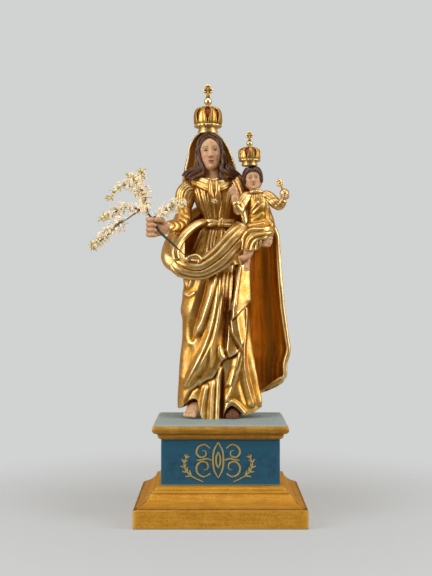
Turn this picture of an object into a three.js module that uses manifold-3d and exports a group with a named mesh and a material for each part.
// A carved, gilded and painted wooden Madonna and Child on a blue and gold plinth, about 60 cm tall.
// Millimetres, +Z up, both figures facing -Y, the origin at the centre of the plinth's underside.
import * as THREE from "three";
import { mergeVertices } from "three/addons/utils/BufferGeometryUtils.js";
import Module from "manifold-3d";

const wasm = await Module();
wasm.setup();

const { lerp, clamp, smoothstep, degToRad } = THREE.MathUtils;
const TURN = 2 * Math.PI;

// Driving sizes of the plinth: a moulded foot, a painted die and a moulded cap.
const PLINTH_WIDTH = 229;
const PLINTH_DEPTH = 196;
const SLAB_HEIGHT = 25;
const COVE_TOP = 41.3;
const COVE_INSET = 22;
const ROUND_BOTTOM = 45.5;
const ROUND_INSET = 27;
const DIE_INSET = 34.9;
const DIE_BOTTOM = 50.3;
const DIE_TOP = 111.7;
const CAP_INSET = 23.4;
const CAP_ROUND_BOTTOM = 120;
const PLINTH_TOP = 131.5;

// Driving sizes of the standing figure.
const BODY_AXIS_X = -4;
const BODY_AXIS_Y = 24;
const HEM_LIFT = 13;
const HEM_UNDERCUT = 9;
const NECK_TOP = 468;
const BELT_HEIGHT = 405;
const MANTLE_THICKNESS = 4.5;
const HEAD = { chin: [-12, 22, 478.5], height: 56, breadth: 1, tilt: degToRad(-4), rows: 9 };
const CLOSED_HAND = [-88, -38, 396];

// Driving sizes of the child, the crowns, the globe and the blossom spray.
const CHILD_HEAD = { chin: [46, -7, 450], height: 36, breadth: 1.16, tilt: degToRad(-5), rows: 7 };
const SEAT_HEIGHT = 376;
const SHOULDER_HEIGHT = 449;
const CROWN = { at: [-17.5, 24, 532.5], spread: 1, rise: 1, arches: 8 };
const CHILD_CROWN = { at: [40.8, -7, 483.2], spread: 0.77, rise: 0.68, arches: 7 };
const GLOBE = { at: [88.5, -16, 445], radius: 6.6, lean: degToRad(-15) };
const STEM_RADIUS = 1.3;
const FIT_GAP = 0.35;

const point = (x, y, z) => new THREE.Vector3(x, y, z);
const swell = (x, centre, width) => Math.exp(-(((x - centre) / width) ** 2));

// A smooth curve through stops [place, value].
function rail(...stops) {
  const slope = (k) => {
    const before = stops[Math.max(k - 1, 0)];
    const after = stops[Math.min(k + 1, stops.length - 1)];
    return (after[1] - before[1]) / (after[0] - before[0]);
  };
  return (place) => {
    let k = 0;
    while (k < stops.length - 2 && place > stops[k + 1][0]) k += 1;
    const span = stops[k + 1][0] - stops[k][0];
    const t = clamp((place - stops[k][0]) / span, 0, 1);
    const rise = t * t * (3 - 2 * t);
    const leave = t * (1 - t) * (1 - t) * span * slope(k);
    const arrive = t * t * (t - 1) * span * slope(k + 1);
    return lerp(stops[k][1], stops[k + 1][1], rise) + leave + arrive;
  };
}

// A geometry with its faces pointing out.
function facingOut(geometry) {
  const place = geometry.getAttribute("position");
  const index = geometry.getIndex().array;
  const [a, b, c] = [point(0, 0, 0), point(0, 0, 0), point(0, 0, 0)];
  let volume = 0;
  for (let i = 0; i < index.length; i += 3) {
    a.fromBufferAttribute(place, index[i]);
    b.fromBufferAttribute(place, index[i + 1]);
    c.fromBufferAttribute(place, index[i + 2]);
    volume += a.dot(b.cross(c));
  }
  if (volume < 0) {
    for (let i = 0; i < index.length; i += 3) [index[i], index[i + 1]] = [index[i + 1], index[i]];
  }
  return geometry;
}

// The closed surface through rings of points, its ends closed by a fan, or straight across for a flat cloth.
function skin(rings, flatEnds = false) {
  const around = rings[0].length;
  const middle = (ring) => ring.reduce((sum, p) => sum.add(p), point(0, 0, 0)).divideScalar(around);
  const vertices = rings.flat();
  const faces = [];
  for (let i = 0; i + 1 < rings.length; i += 1) {
    for (let j = 0; j < around; j += 1) {
      const a = i * around + j;
      const b = i * around + ((j + 1) % around);
      faces.push(a, b, b + around, a, b + around, a + around);
    }
  }
  for (const [start, turned] of [[0, true], [(rings.length - 1) * around, false]]) {
    const cap = [];
    if (flatEnds) {
      for (let j = 0; j < around / 2 - 1; j += 1) {
        const across = around - 1 - j;
        cap.push([j, j + 1, across - 1], [j, across - 1, across]);
      }
    } else {
      const hub = vertices.push(middle(rings[start / around])) - 1 - start;
      for (let j = 0; j < around; j += 1) cap.push([j, (j + 1) % around, hub]);
    }
    for (const [a, b, c] of cap) faces.push(start + a, start + (turned ? c : b), start + (turned ? b : c));
  }
  const geometry = new THREE.BufferGeometry().setFromPoints(vertices);
  geometry.setIndex(faces);
  return facingOut(geometry);
}

// A roll along a smooth path. Its depth lies in the direction out and its width across it.
function roll(path, { out = point(0, -1, 0), width, depth = width, sides, steps, ridge = () => 0 }) {
  const curve = new THREE.CatmullRomCurve3(path.map((p) => point(...p)));
  const ring = (t) => {
    const along = curve.getTangentAt(t);
    const front = out.clone().addScaledVector(along, -out.dot(along)).normalize();
    const side = along.clone().cross(front);
    return Array.from({ length: sides }, (_, j) => {
      const turn = (j / sides) * TURN;
      const grown = 1 + ridge(t, turn);
      return curve
        .getPointAt(t)
        .addScaledVector(side, width(t) * Math.cos(turn) * grown)
        .addScaledVector(front, depth(t) * Math.sin(turn) * grown);
    });
  };
  return skin(Array.from({ length: steps + 1 }, (_, i) => ring(i / steps)));
}

// A width that is full in the middle of a roll and rounds off at both ends.
const rounded = (full, from = 0.15, to = 0.85) => (t) => {
  const end = Math.min(t / from, (1 - t) / (1 - to), 1);
  return full * Math.sqrt(1 - (1 - end) ** 2 * 0.92);
};

// A cloth of even thickness over the surface place(u, v), with folds that press it in and out.
function cloth(place, { across, down, thickness, fold = () => 0 }) {
  const step = 1e-3;
  const rings = [];
  for (let i = 0; i <= down; i += 1) {
    const front = [];
    const back = [];
    for (let j = 0; j <= across; j += 1) {
      const [u, v] = [j / across, i / down];
      const along = place(Math.min(u + step, 1), v).sub(place(Math.max(u - step, 0), v));
      const below = place(u, Math.min(v + step, 1)).sub(place(u, Math.max(v - step, 0)));
      const normal = below.cross(along).normalize();
      front.push(place(u, v).addScaledVector(normal, fold(u, v) + thickness / 2));
      back.push(place(u, v).addScaledVector(normal, fold(u, v) - thickness / 2));
    }
    rings.push([...front, ...back.reverse()]);
  }
  return skin(rings, true);
}

// A smooth surface over a net of points: each line of the net runs from top to hem.
function draped(net) {
  const lines = net.map((line) => new THREE.CatmullRomCurve3(line.map((p) => point(...p))));
  return (u, v) => new THREE.CatmullRomCurve3(lines.map((line) => line.getPoint(v))).getPoint(u);
}

// A geometry of shared corners only.
function bare(geometry) {
  const copy = geometry.clone();
  copy.deleteAttribute("normal");
  copy.deleteAttribute("uv");
  return mergeVertices(copy, 1e-4);
}

// A geometry as a solid that can be joined and cut.
function solid(geometry) {
  const merged = bare(geometry);
  const vertProperties = merged.getAttribute("position").array;
  const triVerts = new Uint32Array(merged.getIndex().array);
  return new wasm.Manifold(new wasm.Mesh({ numProp: 3, vertProperties, triVerts }));
}

const joined = (geometries) => geometries.map(solid).reduce((whole, next) => whole.add(next));

// A geometry with its skin moved out by the gap that parts two pieces which touch.
function swollen(geometry) {
  const merged = bare(geometry);
  merged.computeVertexNormals();
  const place = merged.getAttribute("position");
  const normal = merged.getAttribute("normal");
  for (let i = 0; i < place.count; i += 1) {
    const moved = point(0, 0, 0).fromBufferAttribute(place, i);
    moved.addScaledVector(point(0, 0, 0).fromBufferAttribute(normal, i), FIT_GAP);
    place.setXYZ(i, ...moved.toArray());
  }
  return merged;
}

// What is left of a solid once the forms it rests on, or that pass through it, are cut away with their gap.
const clearOf = (shape, forms) => forms.reduce((left, form) => left.subtract(solid(swollen(form))), shape);

// The largest body of a solid, without the chips that a cut may free.
const largest = (shape) => shape.decompose().reduce((a, b) => (a.volume() > b.volume() ? a : b));

// The outline of the robes from hem to neck, by height: left, right, front and back.
const leftEdge = rail(
  [131.5, -51], [146, -58], [185, -57], [213, -56], [241, -53.5], [269, -53.5], [283, -56], [297, -54],
  [325, -51], [350, -48], [375, -40], [395, -30], [405, -25], [415, -26], [437, -38], [452, -42],
  [462, -36], [468, -26],
);
const rightEdge = rail(
  [131.5, 53], [146, 59], [185, 52], [213, 47], [241, 43.6], [269, 41], [297, 39.5], [325, 37.5],
  [350, 36], [375, 29], [395, 20], [405, 17], [415, 17], [437, 24], [452, 32], [462, 24], [468, 6],
);
const frontEdge = rail(
  [131.5, -10], [185, -9], [241, -9], [283, -12], [325, -10], [350, -7], [375, -2], [395, 3],
  [405, 5], [415, 4], [437, -1], [452, 1], [462, 7], [468, 12],
);
const backEdge = rail([131.5, 58], [213, 60], [300, 59], [350, 56], [405, 53], [437, 56], [468, 42]);

// Long hanging folds at the back of the mantle.
function backFolds(turn, z) {
  const wave = Math.cos(turn * 5 + 0.5 * Math.sin(z / 60));
  return 3 * wave * (1 - smoothstep(z, 320, 455));
}

// The robes are a little squarer in plan than an ellipse.
const squared = (v) => Math.sign(v) * Math.abs(v) ** 0.86;

// A point of the robes at a turn round their axis, 0 in front and a quarter turn at the Child's side.
function robePoint(turn, z, inset = 0) {
  const [s, c] = [Math.sin(turn), Math.cos(turn)];
  const side = s > 0 ? rightEdge(z) - BODY_AXIS_X : BODY_AXIS_X - leftEdge(z);
  const reach = c > 0 ? BODY_AXIS_Y - frontEdge(z) : backEdge(z) - BODY_AXIS_Y;
  const out = backFolds(turn, z) * (1 - smoothstep(c, -0.1, 0.2)) - inset;
  return point(BODY_AXIS_X + side * squared(s) + out * s, BODY_AXIS_Y - reach * squared(c) - out * c, z);
}

// How far forward the robes reach at a point [x, z] seen from the front.
function frontOfRobes(x, z) {
  const side = x > BODY_AXIS_X ? rightEdge(z) - BODY_AXIS_X : BODY_AXIS_X - leftEdge(z);
  const s = Math.min(Math.abs(x - BODY_AXIS_X) / side, 0.97) ** (1 / 0.86);
  return BODY_AXIS_Y - (BODY_AXIS_Y - frontEdge(z)) * squared(Math.sqrt(1 - s * s));
}

// The gown and the body: one carved mass from the hem to the neck. The hem is lifted at the sides and the
// back, and the gown lies back a little where the mantle covers it.
function gownAndBody() {
  const columns = 20;
  const rows = 9;
  const turns = Array.from({ length: columns }, (_, j) => (j / columns) * TURN);
  const hem = (turn) => PLINTH_TOP + HEM_LIFT * smoothstep(1 - Math.cos(turn - 0.05), 0.25, 0.8);
  const covered = (turn, z) => smoothstep(Math.cos(turn + 1.2), 0.2, 0.6) * (1 - smoothstep(z, 335, 350));
  const rings = [
    turns.map((turn) => robePoint(turn, PLINTH_TOP, HEM_UNDERCUT)),
    turns.map((turn) => robePoint(turn, hem(turn) + 0.5, HEM_UNDERCUT)),
  ];
  for (let i = 0; i <= rows; i += 1) {
    rings.push(
      turns.map((turn) => {
        const z = lerp(hem(turn), NECK_TOP, i / rows);
        return robePoint(turn, z, (MANTLE_THICKNESS - 0.5) * covered(turn, z));
      }),
    );
  }
  return skin(rings);
}

// The folds of the lower robes as seen from the front: each runs from one point [x, z] through a bend to
// another, stands out by a height and has a half width.
const LOWER_FOLDS = [
  { from: [-6, 331], bend: [-12, 288], to: [-35, 244], height: 6, width: 6.5 },
  { from: [-1, 331], bend: [-7, 249], to: [-46, 188], height: 5, width: 5 },
  { from: [4, 311], bend: [-5, 235], to: [-42, 176], height: 4.5, width: 4.5 },
  { from: [3, 300], bend: [-4, 242], to: [-10, 194], height: 4, width: 4 },
  { from: [20, 334], bend: [15, 298], to: [13, 262], height: 4, width: 4.5 },
  { from: [31, 250], bend: [32, 220], to: [28, 196], height: 3.5, width: 4.5 },
  { from: [30, 236], bend: [33, 190], to: [50, 143], height: 5, width: 5 },
  { from: [29, 222], bend: [25, 189], to: [6, 146], height: 4, width: 4.5 },
  { from: [36, 290], bend: [39, 232], to: [58, 147], height: 4, width: 5 },
  { from: [-20, 178], bend: [-25, 154], to: [-28, 132], height: 3.5, width: 4.5 },
  { from: [-10, 186], bend: [-14, 156], to: [-16, 132], height: 4, width: 4.5 },
  { from: [-1, 198], bend: [-3, 162], to: [-6, 132], height: 3.5, width: 4 },
  { from: [12, 190], bend: [10, 165], to: [9, 134], height: 3, width: 4 },
  { from: [-53, 306], bend: [-42, 297], to: [-28, 306], height: 2.5, width: 3.5 },
];

// A fold is a roll half sunk in the front of the robes, with its crest forward.
function carvedFold({ from, bend, to, height, width, steps = 4 }) {
  const path = [0, 0.25, 0.5, 0.75, 1].map((t) => {
    const [x, z] = [0, 1].map((k) => (1 - t) ** 2 * from[k] + 2 * t * (1 - t) * bend[k] + t * t * to[k]);
    return [x, frontOfRobes(x, z) + width - height, z];
  });
  return roll(path, { width: rounded(width, 0.3, 0.7), sides: 4, steps });
}

// Pleats gathered by the belt, between a left and a right side at the top and at the bottom.
function gatheredPleats([topLeft, topRight, top], [lowLeft, lowRight, low]) {
  const count = 5;
  return Array.from({ length: count }, (_, k) => {
    const share = (k + 0.5) / count;
    const from = [lerp(topLeft, topRight, share), top];
    const to = [lerp(lowLeft, lowRight, share), low];
    const bend = [lerp(from[0], to[0], 0.6), lerp(top, low, 0.5)];
    return carvedFold({ from, bend, to, height: 2, width: 2.8, steps: 3 });
  });
}

const folds = () => [
  ...LOWER_FOLDS.map(carvedFold),
  ...gatheredPleats([-36, 20, 448], [-20, 11, 409]),
  ...gatheredPleats([-22, 14, 402], [-42, 16, 350]),
];

// The mantle's front, wrapped from the left side across the knees. Its hem rises to the right.
const mantleHem = rail(
  [-56, 156], [-35, 173.5], [-21, 183.5], [-7, 190.5], [0, 201], [5, 211], [16, 218], [27, 230],
);

function mantleFront() {
  const place = (u, v) => {
    const turn = lerp(-1.7, 0.62, u);
    const low = mantleHem(robePoint(turn, 190).x);
    return robePoint(turn, lerp(345, low, v), MANTLE_THICKNESS / 2);
  };
  return cloth(place, { across: 9, down: 4, thickness: MANTLE_THICKNESS });
}

// The mantle's end, which falls from under the Child in a fold with a slanting edge.
function fallingEnd() {
  const place = draped([
    [[17, -12, 336], [16, -14, 303], [14, -14, 268]],
    [[27, -13, 342], [26, -18, 312], [27, -17, 282]],
    [[37, -8, 344], [40, -13, 318], [41, -12, 293]],
  ]);
  return cloth(place, { across: 2, down: 3, thickness: 5 });
}

// The mantle's half at the Child's side hangs free of the body, so its lining shows beside the gown.
const rimX = rail(
  [190, 91], [206, 89], [226, 95.5], [254, 92], [283, 88], [325, 84.5], [368, 82], [394, 79.5],
  [416, 66], [446, 44], [474, 24],
);
const rimY = rail([190, 22], [300, 22], [394, 20], [446, 14], [474, 14]);
const wingBack = rail([150, 58], [300, 58], [394, 56], [446, 54], [474, 44]);

function mantleWing() {
  const innerX = -8;
  const place = (u, v) => {
    const turn = (u * Math.PI) / 2;
    const z = lerp(474, lerp(150, 189, u ** 1.4), v);
    const x = innerX + (rimX(z) - innerX) * Math.sin(turn) ** 0.85;
    return point(x, rimY(z) + (wingBack(z) - rimY(z)) * Math.cos(turn) ** 0.8, z);
  };
  const wave = (u) => 2.2 * Math.cos(u * TURN * 3.2 + 0.5) * Math.sin(u * Math.PI);
  const fold = (u, v) => wave(u) * smoothstep(v, 0.1, 0.5);
  return cloth(place, { across: 10, down: 5, thickness: MANTLE_THICKNESS, fold });
}

// Behind the raised arm the mantle swings out into a deep loop before it crosses the body.
function mantleLoop() {
  const place = draped([
    [[-10, 52, 440], [-14, 54, 405], [-16, 54, 370], [-20, 46, 338]],
    [[-41, 34, 424], [-64, 32, 394], [-76, 26, 362], [-54, 16, 333]],
    [[-64, 10, 386], [-76, 6, 374], [-80, 2, 354], [-58, 0, 331]],
    [[-66, -12, 368], [-74, -15, 358], [-72, -17, 344], [-50, -8, 330]],
    [[-50, -24, 354], [-52, -28, 347], [-48, -28, 338], [-38, -10, 328]],
  ]);
  return cloth(place, { across: 7, down: 4, thickness: MANTLE_THICKNESS });
}

// The mantle's edge, turned over from the waist into the loop.
const turnedEdge = () =>
  roll([[-22, 6, 408], [-37, -6, 399], [-48, -14, 390], [-57, -19, 379], [-61, -24, 366], [-60, -26, 354]], {
    width: rounded(6.5, 0.2, 0.8),
    depth: rounded(6, 0.2, 0.8),
    sides: 6,
    steps: 6,
  });

// The gathered part of the mantle that crosses the body in long folds and is caught up under the Child.
const SWAG = [
  [-66, -14, 352], [-50, -20, 343], [-28, -22, 339], [-12, -22, 348], [4, -20, 361], [20, -15, 381],
  [34, -6, 400],
];
const swag = () =>
  roll(SWAG, {
    width: (t) => rounded(lerp(14, 17, t), 0.12, 0.9)(t),
    depth: rounded(11, 0.12, 0.9),
    sides: 12,
    steps: 7,
    ridge: (t, turn) => 0.13 * Math.cos(turn * 5 + 2 * t) * Math.sin(t * Math.PI),
  });

// A small corner of cloth that laps back over the swag.
const lappedCorner = () =>
  roll([[-58, -27, 352], [-46, -32, 352], [-36, -32, 355], [-30, -29, 352]], {
    width: rounded(5.5, 0.2, 0.75),
    depth: rounded(3.5, 0.2, 0.75),
    sides: 5,
    steps: 4,
  });

// The neckline: soft folds round the neck, and a knotted band down the breast.
function collar() {
  const soft = roll([[-37, 14, 462], [-26, 3, 464], [-12, -1, 463], [2, 3, 462], [16, 12, 460]], {
    width: rounded(6, 0.2, 0.8),
    depth: rounded(5, 0.2, 0.8),
    sides: 5,
    steps: 5,
  });
  const band = roll([[-8, -2, 462], [-8, -4, 450], [-7.5, -3, 436]], {
    width: rounded(6.5, 0.2, 0.9),
    depth: rounded(3.4, 0.2, 0.9),
    sides: 6,
    steps: 3,
  });
  const knot = new THREE.SphereGeometry(4, 6, 4).translate(-7.5, -5, 434);
  return [soft, band, knot];
}

// The belt, with a knot in front.
function belt() {
  const z = BELT_HEIGHT;
  const band = roll([[-24, 16, z], [-17, 6, z - 1], [-3, 3, z - 1], [10, 6, z - 1], [17, 16, z]], {
    width: () => 5.5,
    depth: () => 3.5,
    sides: 6,
    steps: 6,
  });
  const knot = new THREE.SphereGeometry(5, 6, 4).scale(0.9, 0.6, 1.2).translate(-1, 1, z);
  return [band, knot];
}

// The arm that holds the spray, in a full gathered sleeve.
const SPRAY_ARM = [
  [-30, 25, 456], [-47, 21, 450], [-51, 18, 432], [-53, 12, 413], [-58, 1, 402], [-68, -15, 398],
  [-78, -29, 396],
];
const sprayArm = () =>
  roll(SPRAY_ARM, {
    width: rail([0, 9], [0.14, 13.5], [0.3, 12], [0.5, 11.5], [0.75, 10.5], [0.9, 9], [1, 6.5]),
    sides: 8,
    steps: 8,
    ridge: (t) => 0.06 * Math.cos(t * TURN * 5),
  });

// The arm that carries the Child, under the mantle, and its hand below the Child's seat.
function carryingArm() {
  const path = [[18, 24, 452], [28, 24, 446], [38, 24, 420], [44, 20, 398], [52, 8, 386], [60, -4, 381]];
  const width = rail([0, 9], [0.2, 13], [0.6, 12], [0.85, 10], [1, 8]);
  const sleeve = roll(path, { width, sides: 6, steps: 5 });
  const hand = roll([[58, 0, 380], [62, -8, 379], [64, -16, 379]], {
    width: rounded(8),
    depth: rounded(6),
    sides: 6,
    steps: 3,
  });
  return [sleeve, hand];
}

// A closed hand round the stem: a palm, four curled fingers one above the other, and the thumb.
function closedHand([x, y, z]) {
  const palm = roll([[x + 10, y + 12, z], [x + 4, y + 4, z], [x, y - 2, z + 1]], {
    width: rounded(11, 0.4, 0.6),
    depth: rounded(8, 0.4, 0.6),
    sides: 6,
    steps: 3,
  });
  const finger = (k) => {
    const high = z + 10 - k * 6.6;
    const knuckle = [x - 8, y - 2, high];
    const path = [[x + 3, y + 2, high], knuckle, [x - 8, y - 10, high - 1], [x + 1, y - 11, high - 2]];
    return roll(path, { width: rounded(3.5, 0.1, 0.8), sides: 4, steps: 3 });
  };
  const thumb = roll([[x + 9, y + 4, z + 6], [x + 8, y - 7, z + 9], [x + 1, y - 12, z + 8]], {
    width: rounded(3.8, 0.1, 0.8),
    sides: 4,
    steps: 3,
  });
  return [palm, ...[0, 1, 2, 3].map(finger), thumb];
}

// A head from chin to crown in parts of its own height, on the usual proportions: eyes half way up, and the
// nose and mouth between them and the chin. It looks along -Y.
const headWidth = rail(
  [0, 0.08], [0.08, 0.19], [0.2, 0.27], [0.35, 0.32], [0.5, 0.345], [0.7, 0.345], [0.86, 0.27], [0.96, 0.13],
  [1, 0.02],
);
const headFront = rail(
  [0, 0.27], [0.08, 0.35], [0.2, 0.365], [0.34, 0.36], [0.47, 0.345], [0.56, 0.375], [0.75, 0.36],
  [0.88, 0.25], [0.96, 0.13], [1, 0.02],
);
const headBack = rail(
  [0, 0.02], [0.08, 0.05], [0.2, 0.14], [0.35, 0.34], [0.5, 0.42], [0.7, 0.45], [0.86, 0.35], [0.96, 0.16],
  [1, 0.02],
);

function head({ chin, height, breadth, tilt, rows, columns = 12 }, growth = 0) {
  const ring = (h) =>
    Array.from({ length: columns }, (_, j) => {
      const turn = (j / columns) * TURN;
      const [s, c] = [Math.sin(turn), Math.cos(turn)];
      const nose = c > 0.9 ? 0.085 * swell(h, 0.37, 0.07) + 0.03 * swell(h, 0.46, 0.06) : 0;
      const reach = (c > 0 ? headFront(h) + nose : headBack(h)) + growth;
      return point((headWidth(h) * breadth + growth) * s * height, -reach * c * height, h * height);
    });
  return skin(Array.from({ length: rows + 1 }, (_, i) => ring(i / rows))).rotateY(tilt).translate(...chin);
}

const neck = (from, to, radius) =>
  roll([from, from.map((v, k) => (v + to[k]) / 2), to], { width: () => radius, sides: 8, steps: 1 });

// The hair covers the back of a head: a fuller copy of it, set back and up by some millimetres.
function hairCap(wearer, back, up, growth) {
  const [x, y, z] = wearer.chin;
  return head({ ...wearer, chin: [x, y + back, z + up], columns: 9, rows: 5 }, growth);
}

// The Madonna's hair is parted in the middle, in two long locks that turn out over the shoulders.
function longHair() {
  const lock = (path) =>
    roll(path, { width: rail([0, 3], [0.12, 6], [0.5, 6.5], [0.8, 6], [1, 2.5]), sides: 5, steps: 5 });
  const left = [
    [-17, 12, 531], [-28, 13, 524], [-32, 15, 508], [-31, 14, 488], [-33, 10, 474], [-42, 8, 468],
    [-52, 9, 464],
  ];
  const right = [
    [-14, 12, 531], [-1, 13, 524], [5, 15, 508], [6, 14, 488], [9, 10, 474], [19, 8, 468],
    [30, 9, 461],
  ];
  return [hairCap(HEAD, 8, 0, 0.03), lock(left), lock(right)];
}

// The mantle drawn up over the head, standing away from the hair.
const veilHalfWidth = rail(
  [462, 40], [472, 38], [485, 35.5], [497, 32], [511, 27.5], [524, 20], [532, 12], [535, 6],
);
const veilMiddle = rail([468, -13.5], [497, -14.5], [516, -17], [535, -18]);

function veil() {
  const place = (u, v) => {
    const turn = lerp(-1.62, 1.62, u);
    const z = lerp(535, lerp(468, 452, Math.cos(turn)), v ** 0.9);
    const half = veilHalfWidth(z);
    const deep = 16 + Math.min(40, 16 + half * 1.2) * Math.cos(turn);
    return point(veilMiddle(z) + half * Math.sin(turn), deep, z);
  };
  const fold = (u, v) => 1.2 * Math.cos(u * TURN * 4) * smoothstep(v, 0.2, 0.8);
  return cloth(place, { across: 8, down: 3, thickness: 3.6, fold });
}

// The toes show at the left. At the right only a stub of dark worn wood is left of the foot.
function feet() {
  const instep = roll([[-30, 26, 144], [-34, 12, 143], [-38, 2, 138]], {
    out: point(0, 0, 1),
    width: rounded(11, 0.3, 0.6),
    depth: rounded(6.4, 0.3, 0.6),
    sides: 6,
    steps: 3,
  });
  const toe = (k) => {
    const x = -40 + k * 4.3;
    return roll([[x, 8, 137], [x - 2, 1, 137], [x - 3, -4 + k * 0.8, 134.6]], {
      width: rounded(3, 0.2, 0.7),
      sides: 4,
      steps: 2,
    });
  };
  const stub = new THREE.SphereGeometry(1, 7, 5).scale(11.5, 16, 12).translate(17.5, 6, PLINTH_TOP + 5);
  return [instep, ...[-1, 0, 1, 2].map(toe), stub];
}

// The flat that a crown rests on, as the form to cut away above it.
const aboveSeat = ({ at: [x, y, z] }, radius) =>
  new THREE.CylinderGeometry(radius, radius, 20, 16).rotateX(Math.PI / 2).translate(x, y, z + 10);

// The carved Madonna, one piece of wood: flat below and under her crown, and bored for the stem of the spray.
function madonna() {
  const whole = joined([
    gownAndBody(), ...folds(), mantleFront(), fallingEnd(), mantleWing(), mantleLoop(), turnedEdge(), swag(),
    lappedCorner(), ...collar(), ...belt(), sprayArm(), ...carryingArm(), ...closedHand(CLOSED_HAND),
    neck([-9, 22, 458], [-11, 24, 492], 10.5), head(HEAD), ...longHair(), veil(), ...feet(),
  ]);
  const below = new THREE.BoxGeometry(400, 400, 60).translate(0, 0, PLINTH_TOP - 30);
  const cut = whole.subtract(solid(below)).subtract(solid(aboveSeat(CROWN, 20)));
  return largest(clearOf(cut, [stem()]));
}

// The Child sits upright on the arm, in a gown that falls over both knees.
const gownLeft = rail([376, 25], [386, 30], [398, 34], [410, 37], [430, 37], [442, 37], [449, 42]);
const gownRight = rail(
  [376, 66], [386, 74], [398, 77], [410, 75.5], [420, 72], [430, 68.5], [442, 65], [449, 53],
);
const gownFront = rail([376, -22], [390, -27], [402, -22], [412, -19], [430, -20], [442, -17], [449, -12]);
const gownBack = rail([376, 4], [390, 10], [412, 8], [430, 8], [442, 5], [449, 0]);

function childGown() {
  const columns = 18;
  const rows = 6;
  const ring = (z) => {
    const middle = point((gownLeft(z) + gownRight(z)) / 2, (gownFront(z) + gownBack(z)) / 2, z);
    return Array.from({ length: columns }, (_, j) => {
      const turn = (j / columns) * TURN;
      const pleat = 0.9 * Math.cos(turn * 9) * smoothstep(z, 400, 425);
      const half = (gownRight(z) - gownLeft(z)) / 2 + pleat;
      const deep = (gownBack(z) - gownFront(z)) / 2 + pleat;
      return middle.clone().add(point(half * Math.sin(turn), -deep * Math.cos(turn), 0));
    });
  };
  const heights = Array.from({ length: rows + 1 }, (_, i) => lerp(SEAT_HEIGHT, SHOULDER_HEIGHT, i / rows));
  const lap = ([x, y, z], hem) =>
    roll([[60, 2, 392], [(60 + x) / 2, -16, 394], [x, y, z], hem], {
      width: rail([0, 9], [0.5, 10], [0.75, 9.5], [1, 9]),
      sides: 6,
      steps: 5,
    });
  return [skin(heights.map(ring)), lap([36, -28, 389], [35, -27, 366]), lap([50, -27, 385], [49, -26, 366])];
}

// The Child's sleeves, legs and hands. One hand is raised in blessing and the other holds the globe.
function childLimbs() {
  const sleeve = (path) =>
    roll(path, { width: rail([0, 6], [0.25, 7.5], [0.6, 7], [1, 5.2]), sides: 6, steps: 4 });
  const leg = (path) => roll(path, { width: rounded(4.6, 0.1, 0.85), sides: 5, steps: 4 });
  const palm = (x, y, z) => new THREE.SphereGeometry(1, 5, 4).scale(4.8, 3.2, 5.6).translate(x, y, z);
  const finger = ([spread, tip]) =>
    roll([[19 + spread * 0.6, -21, 441], [18.5 + spread, -22, 448], [18.5 + spread * 1.2, -22.5, tip]], {
      width: rounded(1.7, 0.1, 0.8),
      sides: 4,
      steps: 2,
    });
  return [
    sleeve([[42, -6, 443], [34, -8, 439], [27, -12, 422], [24, -16, 421], [21, -20, 434]]),
    sleeve([[58, -6, 443], [68, -8, 440], [76, -12, 429], [80, -14, 429], [85, -16, 433]]),
    leg([[36, -26, 372], [36, -26, 362], [37, -27, 350], [36, -31, 343], [36, -34, 338]]),
    leg([[48, -24, 372], [45, -25, 364], [40, -28, 357], [33, -31, 356], [28, -32, 355]]),
    palm(20, -21, 438),
    palm(85, -16, 434.5),
    ...[[-4, 453], [-1.4, 457], [1.2, 456], [3.6, 450]].map(finger),
  ];
}

// The carved Child, cut to sit on the Madonna's arm, with a flat under the crown and a hollow for the globe.
function child() {
  const whole = joined([
    ...childGown(), ...childLimbs(), neck([49, -6, 443], [47, -6, 456], 6), head(CHILD_HEAD),
    hairCap(CHILD_HEAD, 3.4, 1.5, 0.045),
  ]);
  const carriers = [gownAndBody(), mantleWing(), swag(), ...carryingArm(), veil(), ...longHair()];
  const seated = clearOf(whole, [...carriers, globeBall()]);
  return largest(seated.subtract(solid(aboveSeat(CHILD_CROWN, 15))));
}

// A flat cross whose four arms widen to pointed ends.
function cross(bottom, tall, wide) {
  const arms = [wide / 2, tall * 0.45, wide / 2, tall * 0.55];
  const depth = 3;
  const centre = new THREE.Vector2();
  const outline = arms.flatMap((length, k) => {
    const turn = (k * Math.PI) / 2;
    const corner = (along, across) => new THREE.Vector2(along, across).rotateAround(centre, turn);
    return [corner(1.6, -1.6), corner(length - 2.4, -2.8), corner(length, 0), corner(length - 2.4, 2.8)];
  });
  return new THREE.ExtrudeGeometry(new THREE.Shape(outline), { depth, bevelEnabled: false })
    .translate(0, 0, -depth / 2)
    .rotateX(Math.PI / 2)
    .translate(0, 0, bottom + tall * 0.55);
}

// A closed crown: a plain band, a scalloped rim, and arches that bulge and meet below an orb with a cross.
const crownRadius = rail(
  [0, 13.2], [4, 14.6], [8, 13.6], [11, 17.5], [20, 18.6], [29, 17.4], [36, 11.6], [39.5, 3],
);
const crownArch = rail([0, 0], [8, 0], [11, 2], [16, 2.4], [28, 3], [36, 2.4], [39.5, 0]);

function crown({ at, spread, rise, arches }) {
  const columns = arches * 2;
  const orbHeight = 46;
  const orbRadius = 5.6;
  const ring = (z) =>
    Array.from({ length: columns }, (_, j) => {
      const turn = (j / columns) * TURN;
      const radius = crownRadius(z) + crownArch(z) * Math.cos(turn * arches);
      return point(radius * Math.sin(turn), -radius * Math.cos(turn), z);
    });
  const body = skin([0, 4, 8.2, 11, 20, 31, 37, 39.5].map(ring));
  const stalk = new THREE.CylinderGeometry(2.4, 3.2, 5, 6).rotateX(Math.PI / 2).translate(0, 0, 39.5);
  const orb = new THREE.SphereGeometry(orbRadius, 7, 5).rotateX(Math.PI / 2).translate(0, 0, orbHeight);
  const parts = [body, stalk, orb, cross(orbHeight + orbRadius - 1, 21.5, 14)];
  return parts.map((part) => part.scale(spread, spread, rise).translate(...at));
}

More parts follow.
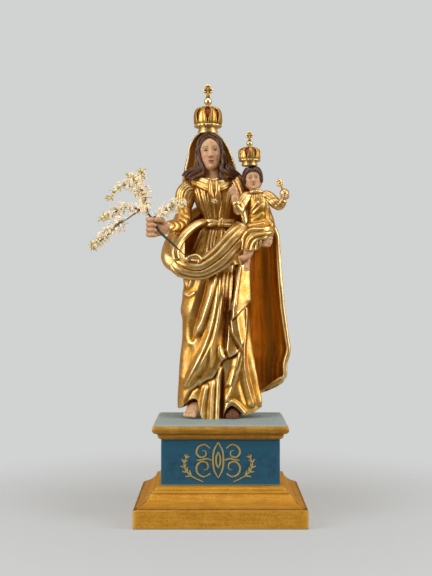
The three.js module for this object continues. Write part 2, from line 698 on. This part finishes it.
// The globe in the Child's hand, with a leaning cross.
const globeBall = () => new THREE.SphereGeometry(GLOBE.radius, 8, 6).translate(...GLOBE.at);

function globe() {
  const mounted = cross(GLOBE.radius - 1.5, 18, 11).rotateY(GLOBE.lean).translate(...GLOBE.at);
  return [globeBall(), mounted];
}

// The spray in the closed hand: a stem, and thin branches that are each set with small blossoms from a share
// of their length on.
const STEM = [
  [-38, -39, 349], [-53, -43, 363], [-68, -46, 377], [-82, -46, 390], [-89, -46, 403], [-98, -46, 415],
];
const TWIG = [-93, -46, 409];
const JOINT = [-98, -46, 415];
const FORK = [-108, -47, 420];
const CROOK = [-101, -44, 430];
const BRANCHES = [
  {
    path: [JOINT, FORK, [-118, -48, 422], [-130, -48, 422], [-146, -46, 415], [-162, -44, 406]],
    from: 0.15,
    blossoms: 8,
  },
  {
    path: [FORK, [-116, -50, 414], [-128, -54, 405], [-139, -56, 398], [-154, -58, 383], [-174, -60, 367]],
    from: 0.3,
    blossoms: 10,
  },
  {
    path: [JOINT, CROOK, [-105, -42, 444], [-109, -42, 458], [-105, -44, 476]],
    from: 0.1,
    blossoms: 11,
  },
  {
    path: [CROOK, [-114, -44, 443], [-123, -46, 452], [-131, -46, 453], [-140, -45, 447], [-150, -44, 433]],
    from: 0.15,
    blossoms: 7,
  },
  {
    path: [TWIG, [-84, -48, 412], [-75, -48, 418], [-62, -46, 426], [-46, -42, 431]],
    from: 0.25,
    blossoms: 7,
  },
];

const stem = () => roll(STEM, { width: (t) => STEM_RADIUS * lerp(1, 0.6, t), sides: 4, steps: 7 });

// One branch in one skin: it swells at each blossom, and the blossoms stand off it on a spiral.
function blossomBranch({ path, from, blossoms }) {
  const sides = 3;
  const spiral = 2.4;
  const curve = new THREE.CatmullRomCurve3(path.map((p) => point(...p)));
  const ring = (t, radius, turn = 0, off = 0) => {
    const along = curve.getTangentAt(t);
    const front = point(0, -1, 0).addScaledVector(along, along.y).normalize();
    const side = along.clone().cross(front);
    return Array.from({ length: sides }, (_, j) => {
      const corner = (j / sides) * TURN;
      return curve
        .getPointAt(t)
        .addScaledVector(side, radius * Math.cos(corner) + off * Math.cos(turn))
        .addScaledVector(front, radius * Math.sin(corner) + off * Math.sin(turn));
    });
  };
  const pitch = (1 - from) / blossoms;
  const rings = [ring(0, STEM_RADIUS), ring(from, STEM_RADIUS * 0.9)];
  for (let k = 0; k < blossoms; k += 1) {
    const size = lerp(5, 2.8, k / blossoms);
    rings.push(ring(from + (k + 0.5) * pitch, size, k * spiral, size * 0.5));
    rings.push(ring(from + (k + 1) * pitch, STEM_RADIUS * 0.8));
  }
  return skin(rings);
}

const spray = () => joined([stem(), ...BRANCHES.map(blossomBranch)]);

// A rectangular moulding: rows of [inset from the plinth's outline, height], bottom to top.
function moulding(profile) {
  const ring = ([inset, z]) => {
    const [x, y] = [PLINTH_WIDTH / 2 - inset, PLINTH_DEPTH / 2 - inset];
    return [point(-x, -y, z), point(x, -y, z), point(x, y, z), point(-x, y, z)];
  };
  return skin(profile.map(ring));
}

// A quarter of a round between two rows of a moulding's profile, hollow or full.
function quarter([inset, low], [nextInset, high], full, steps) {
  return Array.from({ length: steps + 1 }, (_, k) => {
    const turn = ((k / steps) * Math.PI) / 2;
    const [rise, run] = [Math.sin(turn), 1 - Math.cos(turn)];
    return [lerp(inset, nextInset, full ? run : rise), lerp(low, high, full ? rise : run)];
  });
}

// A shallow hollow between two rows of a moulding's profile, drawn towards a bend.
function hollow(start, bend, end, steps) {
  const curve = new THREE.QuadraticBezierCurve(...[start, bend, end].map((row) => new THREE.Vector2(...row)));
  return curve.getPoints(steps).map(({ x, y }) => [x, y]);
}

// The foot: a slab, a wide shallow cove, and a small round up to the die.
const plinthFoot = () =>
  moulding([
    [0, 0],
    [0, SLAB_HEIGHT - 0.8],
    ...hollow([0.8, SLAB_HEIGHT], [15, SLAB_HEIGHT + 5.5], [COVE_INSET, COVE_TOP], 5),
    [COVE_INSET + 0.8, COVE_TOP + 1.7],
    ...quarter([ROUND_INSET, ROUND_BOTTOM], [DIE_INSET, DIE_BOTTOM], true, 3),
  ]);

const plinthDie = () => moulding([[DIE_INSET, DIE_BOTTOM], [DIE_INSET, DIE_TOP]]);

// The cap: a small cove below a round nose, and a flat top.
function plinthCap() {
  const nose = (PLINTH_TOP - CAP_ROUND_BOTTOM) / 2;
  const round = Array.from({ length: 7 }, (_, k) => {
    const turn = lerp(-Math.PI / 2, Math.PI / 2, k / 6);
    return [CAP_INSET + nose * (1 - Math.cos(turn)), CAP_ROUND_BOTTOM + nose * (1 + Math.sin(turn))];
  });
  const cove = quarter([DIE_INSET - 2.5, DIE_TOP + 1], [CAP_INSET + 6.5, CAP_ROUND_BOTTOM - 1], false, 4);
  return moulding([[DIE_INSET - 1.5, DIE_TOP], ...cove, ...round]);
}

const BURNISHED_GOLD = { color: "#c99433", roughness: 0.3, metalness: 0.9 };
const WORN_GILDING = { color: "#b88534", roughness: 0.45, metalness: 0.8 };
const BLUE_PAINT = { color: "#1f5f82", roughness: 0.6, metalness: 0 };
const DRIED_BLOSSOM = { color: "#e6cfa3", roughness: 0.85, metalness: 0 };

// A geometry, or a joined solid, as a named mesh of its own finish.
function piece(name, shape, finish) {
  let geometry = shape;
  if (shape instanceof wasm.Manifold) {
    const { vertProperties, triVerts } = shape.getMesh();
    geometry = new THREE.BufferGeometry();
    geometry.setAttribute("position", new THREE.BufferAttribute(vertProperties, 3));
    geometry.setIndex(new THREE.BufferAttribute(triVerts, 1));
  }
  geometry.computeVertexNormals();
  const mesh = new THREE.Mesh(geometry, new THREE.MeshStandardMaterial(finish));
  mesh.name = name;
  return mesh;
}

const group = new THREE.Group();
group.add(
  piece("plinth_foot", plinthFoot(), WORN_GILDING),
  piece("plinth_die", plinthDie(), BLUE_PAINT),
  piece("plinth_cap", plinthCap(), WORN_GILDING),
  piece("madonna_figure", madonna(), BURNISHED_GOLD),
  piece("child_figure", child(), BURNISHED_GOLD),
  piece("madonna_crown", joined(crown(CROWN)), BURNISHED_GOLD),
  piece("child_crown", joined(crown(CHILD_CROWN)), BURNISHED_GOLD),
  piece("globe_and_cross", joined(globe()), BURNISHED_GOLD),
  piece("blossom_spray", spray(), DRIED_BLOSSOM),
);

export default group;
